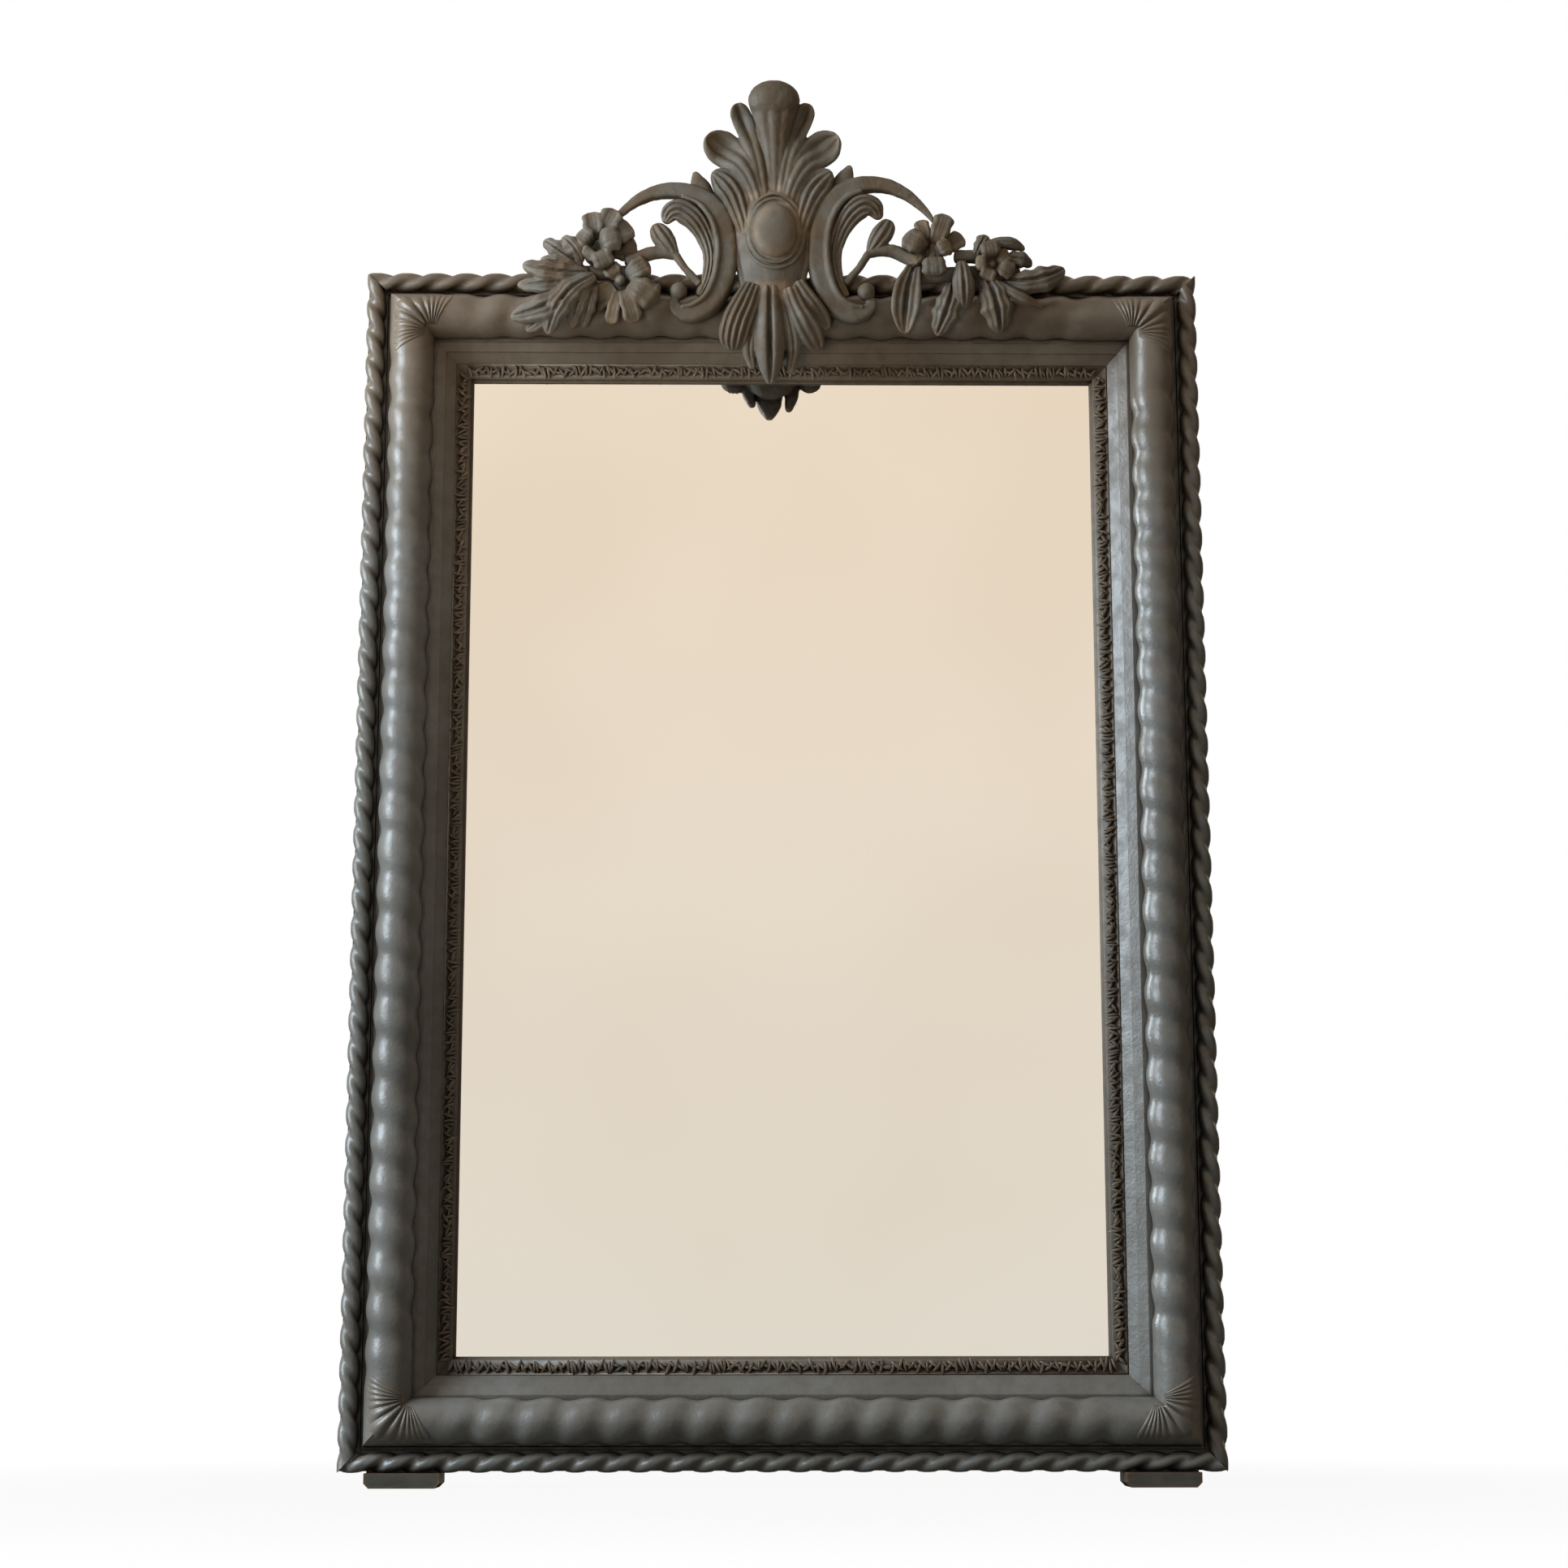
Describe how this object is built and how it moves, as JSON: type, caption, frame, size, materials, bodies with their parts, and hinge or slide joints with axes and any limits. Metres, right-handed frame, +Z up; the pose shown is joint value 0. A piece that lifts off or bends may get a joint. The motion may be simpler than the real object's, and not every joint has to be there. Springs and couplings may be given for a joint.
{
  "type": "pediment mirror",
  "caption": "Tall standing or wall mirror in a painted mitred frame with twisted mouldings, corner leaves and a carved openwork crest of palmette, scrolls and flowers.",
  "frame": {"origin": "on the floor under the middle of the whole mirror, with the soles of its feet at Z = 0", "axes": "+X to the viewer's right, +Z up, the front faces -Y"},
  "size_m": [0.9, 0.1144, 1.4928],
  "materials": {
    "grey_paint": "dark warm grey paint with a satin wax sheen",
    "foot_wood": "grey paint rubbed through to brown wood",
    "bare_wood": "bare aged softwood",
    "mirror": "silvered flat glass",
    "steel": "dull plain steel"
  },
  "bodies": {
    "frame": {"back_board_1": "bare_wood", "back_board_2": "bare_wood", "back_board_3": "bare_wood", "back_board_4": "bare_wood", "back_board_nails": "steel", "bottom_left_leaf": "grey_paint", "bottom_rail": "grey_paint", "bottom_right_leaf": "grey_paint", "bottom_rope": "grey_paint", "bottom_slip": "grey_paint", "bottom_torsade": "grey_paint", "cabochon": "grey_paint", "cartouche": "grey_paint", "crest_backplate": "bare_wood", "crest_cleat": "bare_wood", "crest_screws": "steel", "foot_screws": "steel", "glazing_blocks": "bare_wood", "hanger_screws": "steel", "left_bud": "grey_paint", "left_foot": "foot_wood", "left_hanger_strap": "steel", "left_lower_flower": "grey_paint", "left_rope": "grey_paint", "left_scroll": "grey_paint", "left_scroll_leaf": "grey_paint", "left_slip": "grey_paint", "left_spray": "grey_paint", "left_stile": "grey_paint", "left_torsade": "grey_paint", "left_upper_flower": "grey_paint", "mirror_glass": "mirror", "mitre_keys": "bare_wood", "palmette": "grey_paint", "pendant_leaf": "grey_paint", "right_bud": "grey_paint", "right_foot": "foot_wood", "right_hanger_strap": "steel", "right_outer_flower": "grey_paint", "right_rope": "grey_paint", "right_scroll": "grey_paint", "right_scroll_leaf": "grey_paint", "right_slip": "grey_paint", "right_spray": "grey_paint", "right_stile": "grey_paint", "right_torsade": "grey_paint", "right_upper_flower": "grey_paint", "top_left_leaf": "grey_paint", "top_rail": "grey_paint", "top_right_leaf": "grey_paint", "top_rope": "grey_paint", "top_slip": "grey_paint", "top_torsade": "grey_paint"},
    "left_ring": {"left_hanger_ring": "steel"},
    "right_ring": {"right_hanger_ring": "steel"}
  },
  "joints": [
    {"name": "left_ring_swing", "type": "hinge", "parent": "frame", "child": "left_ring", "pos_m": [-0.3995, 0.05386, 0.987], "axis": [1, 0, 0], "range_deg": [0, 175]},
    {"name": "right_ring_swing", "type": "hinge", "parent": "frame", "child": "right_ring", "pos_m": [0.3995, 0.05386, 0.987], "axis": [1, 0, 0], "range_deg": [0, 175]}
  ]
}
